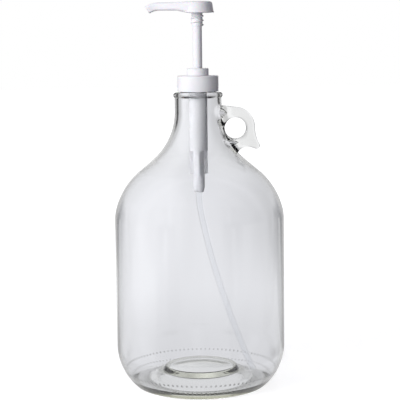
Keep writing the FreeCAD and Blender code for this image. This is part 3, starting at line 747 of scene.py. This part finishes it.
def finger_loop(jug, loop, j):
    """A rounded section carried round the finger hole, between the hole and the loop's edge.

    A section point is inset from the edge or the hole, and the flat faces run straight between them.
    The section thickens towards the jug's wall, by a share that falls away exponentially.
    """
    edge, hole = loop_outline(jug, loop, j)
    ahead = np.roll(edge, -1, axis=0) - np.roll(edge, 1, axis=0)
    ahead /= np.linalg.norm(ahead, axis=1, keepdims=True)
    inward = np.stack([ahead[:, 1], -ahead[:, 0]], axis=1)
    outward = (edge - hole) / np.linalg.norm(edge - hole, axis=1, keepdims=True)
    rim = hole + loop.hole_radius * outward
    t = np.linspace(QUARTER, -QUARTER, 16)
    half_flat = loop.thickness / 2 - loop.edge_round
    inset = loop.edge_round * (1 - np.cos(t))
    side = loop.edge_round * np.sin(t) + half_flat * np.sign(t)
    between = np.linspace(0, 1, 6)[1:-1]
    full = np.full_like(between, loop.edge_round)
    flat = np.full_like(between, -loop.thickness / 2)
    share = np.concatenate([np.zeros_like(t), between, np.ones_like(t), between[::-1]])[:, None]
    inset = np.concatenate([inset, full, inset[::-1], full])[:, None]
    side = np.concatenate([side, flat, side[::-1], -flat])
    from_edge = edge[:, None] + inward[:, None] * inset
    from_hole = rim[:, None] + outward[:, None] * inset
    flat_place = from_edge * (1 - share) + from_hole * share
    x, z = flat_place[..., 0], flat_place[..., 1]
    curve = np.sqrt(jug.neck_curve**2 - np.minimum(z - j.z_neck, 0) ** 2)
    reach = np.maximum(x - (jug.neck_radius + jug.neck_curve - curve), 0)
    depth = side * (1 + loop.root_flare * np.exp(-reach / loop.flare_reach))
    points = np.stack([x, depth, z], axis=-1)
    return mesh_of("finger_loop", points.reshape(-1, 3), cells(*points.shape[:2], round_rows=True))


# Points of the screw ridge and what is left of it at its ends
RIDGE = SimpleNamespace(points_per_turn=90, end_depth=0.05, end_width=0.2)


def screw_ridge(jug, thread, j):
    """A tapered section carried up a helix on the finish, which sinks into it at both ends."""
    t = np.linspace(0, 1, int(thread.turns * RIDGE.points_per_turn))[:, None]
    a = 2 * math.pi * thread.turns * t
    ends = eased(np.minimum(t, 1 - t) / thread.fade)
    taper = (thread.root_width - thread.crest_width) / 2 / thread.depth
    foot_half = thread.root_width / 2 + taper * thread.sink
    crest_half = thread.crest_width / 2
    rise = np.array([0.0, 1.0, 1.0, 0.0]) * (thread.depth + thread.sink)
    across = np.array([foot_half, crest_half, -crest_half, -foot_half])
    r = jug.finish_radius - thread.sink + rise * np.maximum(ends, RIDGE.end_depth)
    climb = j.z_lip - thread.lip_drop + thread.pitch * thread.turns * t
    z = climb + across * np.maximum(ends, RIDGE.end_width)
    points = about_z(r, a, z)
    rows, columns = points.shape[:2]
    first = np.arange(columns)[::-1][None]
    last = (rows - 1) * columns + np.arange(columns)[None]
    return mesh_of("screw_ridge", points.reshape(-1, 3), cells(rows, columns), first, last)


def placed(name, data):
    """A new object in the scene."""
    obj = bpy.data.objects.new(name, data)
    bpy.context.scene.collection.objects.link(obj)
    return obj


def carved(mesh, *steps):
    """A closed mesh with other closed meshes joined to it or cut from it, in order."""
    made = [placed(mesh.name, mesh)]
    for operation, tool in steps:
        made.append(placed(tool.name, tool))
        modifier = made[0].modifiers.new(tool.name, "BOOLEAN")
        modifier.operation = operation
        modifier.object = made[-1]
        modifier.solver = "MANIFOLD"
    depsgraph = bpy.context.evaluated_depsgraph_get()
    result = bpy.data.meshes.new_from_object(made[0].evaluated_get(depsgraph))
    for obj in made:
        bpy.data.meshes.remove(obj.data)
    return result


def smooth_piece(name, mesh, material, sharp_degrees):
    """An object of a mesh, shaded smooth except over sharp edges."""
    mesh.name = name
    mesh.materials.clear()
    mesh.materials.append(material)
    mesh.shade_smooth()
    mesh.set_sharp_from_angle(angle=math.radians(sharp_degrees))
    return placed(name, mesh)


# Points of the coil and the share of its pitch at the ends
COIL = SimpleNamespace(points_per_turn=48, sides=14, end_pitch=0.25)


def wound_wire(spring):
    """A round section carried up a helix whose pitch eases at both ends, and a map that runs along the wire.

    The centre line is R cos a, R sin a, z(a). The section lies across the line's direction.
    """
    rows = int(spring.turns * COIL.points_per_turn)
    columns = COIL.sides
    t = np.linspace(0, 1, rows)
    ease = np.clip(np.minimum(t, 1 - t) * spring.turns, COIL.end_pitch, 1)
    rise = np.concatenate([[0.0], np.cumsum((ease[1:] + ease[:-1]) / 2)])
    rise /= rise[-1]
    margin = spring.wire / 2 + spring.end_gap
    z = spring.foot + margin + rise * (spring.open_length - 2 * margin)
    a = 2 * math.pi * spring.turns * t
    out = about_z(1.0, a, 0.0)
    centre = about_z(spring.radius, a, z)
    ahead = np.gradient(centre, axis=0)
    ahead /= np.linalg.norm(ahead, axis=1, keepdims=True)
    across = np.cross(ahead, out)
    s = round_angles(columns)[:, None]
    ring = out[:, None] * np.cos(s) + across[:, None] * np.sin(s)
    mesh = capped("wound_spring", centre[:, None] + ring * (spring.wire / 2), centre[[0, -1]])
    corner = np.empty(len(mesh.loops), np.int32)
    mesh.loops.foreach_get("vertex_index", corner)
    u = np.concatenate([np.repeat(t, columns), [0.0, 1.0]]) * spring.turns
    v = np.concatenate([np.tile(np.arange(columns) / columns, rows), [0.0, 0.0]])
    mesh.uv_layers.new(name="along").uv.foreach_set("vector", np.stack([u, v], axis=1)[corner].ravel())
    return mesh


def dress(material, *nodes):
    """Gives a finish to solids that keep their shape."""
    for name in nodes:
        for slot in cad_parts[name].material_slots:
            slot.material = material


# Operators
class BOTTLE_OT_glass_jug(Operator):
    """Blow the glass jug with its finger loop, thread and hollows"""

    bl_idname = "bottle.glass_jug"
    bl_label = "Glass jug"

    def execute(self, context):
        scene = context.scene
        jug, loop = scene.bottle_jug, scene.bottle_loop
        levels = jug_levels(jug)
        inside = turned("inside", inside_profile(jug, levels), jug.segments, hollow(loop, levels.z_ring))
        glass = carved(
            turned("outside", outside_profile(jug, levels), jug.segments),
            ("UNION", finger_loop(jug, loop, levels)),
            ("UNION", screw_ridge(jug, scene.bottle_thread, levels)),
            ("DIFFERENCE", inside),
        )
        material = clear_glass(scene.bottle_finishes, jug)
        piece = smooth_piece("blown_jug", glass, material, GLASS.sharp_degrees)
        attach(piece, "jug")
        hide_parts("glass_jug")
        return {"FINISHED"}


class BOTTLE_OT_white_mouldings(Operator):
    """Finish the closure, collar, head, stem and retainer in white plastic"""

    bl_idname = "bottle.white_mouldings"
    bl_label = "White mouldings"

    def execute(self, context):
        material = moulded_white(context.scene.bottle_finishes)
        dress(material, "screw_closure", "locking_collar", "pump_head", "pump_stem", "piston_retainer")
        return {"FINISHED"}


class BOTTLE_OT_natural_mouldings(Operator):
    """Finish the cylinder, cage and piston in natural plastic, and the dip tube in clear"""

    bl_idname = "bottle.natural_mouldings"
    bl_label = "Natural mouldings"

    def execute(self, context):
        finishes = context.scene.bottle_finishes
        dress(natural_plastic(finishes), "pump_cylinder", "inlet_cage", "piston")
        dress(drawn_tube(finishes), "dip_tube")
        return {"FINISHED"}


class BOTTLE_OT_seals(Operator):
    """Finish the neck gasket and the stem seal"""

    bl_idname = "bottle.seals"
    bl_label = "Seals"

    def execute(self, context):
        dress(soft_seal(context.scene.bottle_finishes), "neck_gasket", "stem_seal")
        return {"FINISHED"}


class BOTTLE_OT_valve_balls(Operator):
    """Finish the two valve balls in polished steel"""

    bl_idname = "bottle.valve_balls"
    bl_label = "Valve balls"

    def execute(self, context):
        dress(polished_steel(context.scene.bottle_finishes), "inlet_ball", "outlet_ball")
        return {"FINISHED"}


class BOTTLE_OT_return_spring(Operator):
    """Wind the return spring at its length with the plunger up"""

    bl_idname = "bottle.return_spring"
    bl_label = "Return spring"

    def execute(self, context):
        spring = context.scene.bottle_spring
        material = drawn_wire(context.scene.bottle_finishes)
        piece = smooth_piece("wound_spring", wound_wire(spring), material, SPRING_STEEL.sharp_degrees)
        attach(piece, "pump_body")
        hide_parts("return_spring")
        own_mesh(piece)
        return {"FINISHED"}


# Stage: the lamp's light as the world repeats it
KEY = SimpleNamespace(aim=(-0.73, -0.64, 0.24), edge=(0.88, 0.93), radiance=9.0)
# The lamp
LAMP = SimpleNamespace(
    place=(-1.26, -1.29, 0.75), target=(0.0, 0.0, 0.3), size=(1.0, 1.4), power=31.5,
)
# Soft light round the jug
STUDIO = SimpleNamespace(
    level=0.06,
    lit_aim=(-0.62, -0.74, 0.25), lit_edge=(-0.2, 0.9), lit_level=0.5,
    back_edge=(0.3, 0.9), back_level=0.4,
    gloss_edge=(-0.2, 0.3), tint=(0.86, 0.84, 1.0), dimming=0.1,
)
# The white card that shows through the glass
CARD = SimpleNamespace(
    level=0.66, rise=0.21, right_edge=(0.15, 0.02), left_edge=(-0.34, -0.14),
    band=0.11, band_edge=(-0.01, -0.05),
)
# The card's dark corners
CORNER = SimpleNamespace(
    darkness=0.95, edge=(0.46, 0.70), top=(0.2, 0.05),
    near=(0.3, 1.5), near_end=(0.785, 0.69),
    far=(2.0, 3.0),
)
# The floor, the card's pattern on it, and a painted shadow on that card close to the jug
FLOOR = SimpleNamespace(
    drop=0.0003, sides=96, dimming=0.25,
    far=(0.4, 1.6), far_lift=0.2,
    near_turn=0.5, painted_shadow_level=0.86, painted_shadow_reach=(0.12, 0.55), near_lift=0.84,
    fold=(0.5, 0.75), fold_reach=(0.1, 0.3),
)
PURE_WHITE = (1.0, 1.0, 1.0)


def towards(aim, axes):
    """How far a direction points along an aim: the sum of the products of their numbers."""
    x, y, z = (share * axis for share, axis in zip(aim, axes))
    return x + y + z


def bearing_of(x, y):
    """The angle from the nearest of the four axes, to the right of someone who looks out along it."""
    heading = x.math("ARCTAN2", x, y)
    return heading - QUARTER * heading.math("ROUND", heading / QUARTER)


def backdrop(tree, path, side, corner, dimming):
    """The white card round the jug, for rays that reach it through glass or off gloss without a matt bounce.

    Gives the share of such rays, and the card's strength: brightest a little to the left, dim where the ray
    was also turned back inside the glass, and dark in the corners.
    """
    matt = path.out("Diffuse Depth")
    inner = path.out("Glossy Depth")
    through = path.out("Is Transmission Ray")
    clear = through + path.out("Is Glossy Ray")
    share = clear.math("MINIMUM", clear, 1.0) * (1 - matt.math("MINIMUM", matt, 1.0))
    rise = CARD.rise * tree.step(side, *CARD.right_edge) + CARD.band * tree.step(side, *CARD.band_edge)
    level = CARD.level + rise * tree.step(side, *CARD.left_edge)
    turned_back = through * inner.math("MINIMUM", inner, 1.0)
    return share, level * (1 - dimming * turned_back) * (1 - CORNER.darkness * corner)


def studio_world():
    """Soft studio light that falls off from left to right, seen as plain white by the camera.

    It also holds the lamp's light for matt pieces inside the glass, which the lamp itself doesn't reach.
    """
    world = bpy.data.worlds.new("soft_studio")
    tree = Tree(world)
    axes = tree.axes(tree.add("TexCoord", output="Generated"))
    x, y, z = axes
    path = tree.add("LightPath", output="Is Camera Ray")
    through = path.out("Is Transmission Ray")
    lit_side = tree.step(towards(STUDIO.lit_aim, axes), *STUDIO.lit_edge)
    key = KEY.radiance * tree.step(towards(KEY.aim, axes), *KEY.edge) * through
    back = STUDIO.back_level * tree.step(y, *STUDIO.back_edge)
    studio = STUDIO.level + STUDIO.lit_level * lit_side + back + key
    side = bearing_of(x, y)
    corner = tree.step(abs(side), *CORNER.edge) * tree.step(z, *CORNER.top)
    share, card = backdrop(tree, path, side, corner, STUDIO.dimming)
    share = share * through.math("MAXIMUM", through, tree.step(y, *STUDIO.gloss_edge))
    strength = path + share * card + (1 - path) * (1 - share) * studio
    tint = tree.blend(STUDIO.tint, PURE_WHITE, path.math("MAXIMUM", path + share, lit_side))
    light = tree.add("Background", {"Color": tint, "Strength": strength})
    tree.add("OutputWorld", {"Surface": light})
    return world


def white_glow(tree, strength):
    return tree.add("Emission", {"Color": (*PURE_WHITE, 1), "Strength": strength})


def floor_finish(stage):
    """Matt and pale, lifted to white for the camera where no shadow falls, and a white card through glass.

    The card's pattern follows the bearing far out and along the diagonals, and the offset near by. Close to
    the jug the card is dimmed as a painted shadow.
    """
    tree = material_tree("pale_floor")
    path = tree.add("LightPath", output="Is Camera Ray")
    x, y, _ = tree.axes(tree.place())
    reach = (x * x + y * y) ** 0.5
    bearing = bearing_of(x, y)
    outer = tree.step(reach, *FLOOR.far)
    fold = tree.step(abs(bearing), *FLOOR.fold) * tree.step(reach, *FLOOR.fold_reach)
    far = outer.math("MAXIMUM", outer, fold)
    side = far * bearing + (1 - far) * FLOOR.near_turn * reach * bearing.math("SINE", bearing)
    near_corner = tree.step(reach, *CORNER.near) * tree.step(abs(bearing), *CORNER.near_end)
    corner_reach = reach.math("MAXIMUM", tree.step(reach, *CORNER.far), near_corner)
    corner = corner_reach * tree.step(abs(bearing), *CORNER.edge)
    share, card = backdrop(tree, path, side, corner, FLOOR.dimming)
    # Painted shadow: the card that glass shows is dimmer close to the jug.
    painted_shadow_near = FLOOR.painted_shadow_level + (1 - FLOOR.painted_shadow_level) * tree.step(reach, *FLOOR.painted_shadow_reach)
    lift = FLOOR.near_lift + FLOOR.far_lift * outer
    matt = tree.add("BsdfDiffuse", {"Color": (*stage.floor_colour, 1)})
    lifted = tree.add("AddShader", {0: matt, 1: white_glow(tree, path * lift)})
    both = tree.add("MixShader", {0: share, 1: lifted, 2: white_glow(tree, card * painted_shadow_near)})
    tree.add("OutputMaterial", {"Surface": both})
    return tree.owner


def pale_floor(stage):
    """A wide flat disc, a hair under the jug's foot."""
    ring = about_z(stage.floor_radius, round_angles(FLOOR.sides), -FLOOR.drop)
    points = np.concatenate([ring, [[0.0, 0.0, -FLOOR.drop]]])
    mesh = mesh_of("floor", points, fan(np.arange(FLOOR.sides), FLOOR.sides))
    mesh.materials.append(floor_finish(stage))
    floor = placed("floor", mesh)


def softbox(name, box):
    """A tall soft lamp that looks at a point."""
    lamp = bpy.data.lights.new(name, "AREA")
    lamp.shape = "RECTANGLE"
    lamp.size, lamp.size_y = box.size
    lamp.energy = box.power
    obj = placed(name, lamp)
    obj.location = box.place
    obj.rotation_euler = (Vector(box.target) - Vector(box.place)).to_track_quat("-Z", "Y").to_euler()
    obj.visible_glossy = False
    obj.visible_transmission = False


def photo_camera(stage):
    """The camera in front of the jug, looking a little down, with the photograph's small turn and offset."""
    data = bpy.data.cameras.new("photo_camera")
    data.lens = stage.focal_pixels / stage.frame_pixels * data.sensor_width
    data.shift_x = 0.5 - stage.centre_pixels / stage.frame_pixels
    camera = placed("photo_camera", data)
    look = Matrix.Rotation(QUARTER - stage.camera_pitch, 3, "X")
    camera.rotation_euler = (look @ Matrix.Rotation(stage.camera_roll, 3, "Z")).to_euler()
    camera.location = (0.0, -stage.camera_distance, stage.camera_height)
    bpy.context.scene.camera = camera


class BOTTLE_OT_stage(Operator):
    """Set the floor, the soft light and the camera"""

    bl_idname = "bottle.stage"
    bl_label = "Stage"

    def execute(self, context):
        stage = context.scene.bottle_stage
        context.scene.world = studio_world()
        context.scene.view_settings.view_transform = "Standard"
        pale_floor(stage)
        softbox("left_softbox", LAMP)
        photo_camera(stage)
        return {"FINISHED"}


class BOTTLE_PT_pieces(Panel):
    """The bottle's pieces and their sizes"""

    bl_label = "Pump oil bottle"
    bl_space_type = "VIEW_3D"
    bl_region_type = "UI"
    bl_category = "Bottle"

    def draw(self, context):
        for operator in OPERATORS:
            self.layout.operator(operator.bl_idname)
        for name, group in GROUPS.items():
            box = self.layout.box()
            box.label(text=group.__doc__)
            for key in group.__annotations__:
                box.prop(getattr(context.scene, name), key)


GROUPS = {
    "bottle_jug": JugSizes,
    "bottle_thread": ThreadSizes,
    "bottle_loop": LoopSizes,
    "bottle_spring": SpringSizes,
    "bottle_finishes": Finishes,
    "bottle_stage": StageSizes,
}
OPERATORS = (
    BOTTLE_OT_stage,
    BOTTLE_OT_glass_jug,
    BOTTLE_OT_white_mouldings,
    BOTTLE_OT_natural_mouldings,
    BOTTLE_OT_seals,
    BOTTLE_OT_valve_balls,
    BOTTLE_OT_return_spring,
)


def register():
    for name, group in GROUPS.items():
        bpy.utils.register_class(group)
        setattr(bpy.types.Scene, name, PointerProperty(type=group))
    for cls in (*OPERATORS, BOTTLE_PT_pieces):
        bpy.utils.register_class(cls)


def unregister():
    for cls in (BOTTLE_PT_pieces, *reversed(OPERATORS)):
        bpy.utils.unregister_class(cls)
    for name, group in GROUPS.items():
        delattr(bpy.types.Scene, name)
        bpy.utils.unregister_class(group)


def main():
    register()
    for operator in OPERATORS:
        getattr(bpy.ops.bottle, operator.bl_idname.split(".")[1])()


if __name__ == "__main__":
    main()
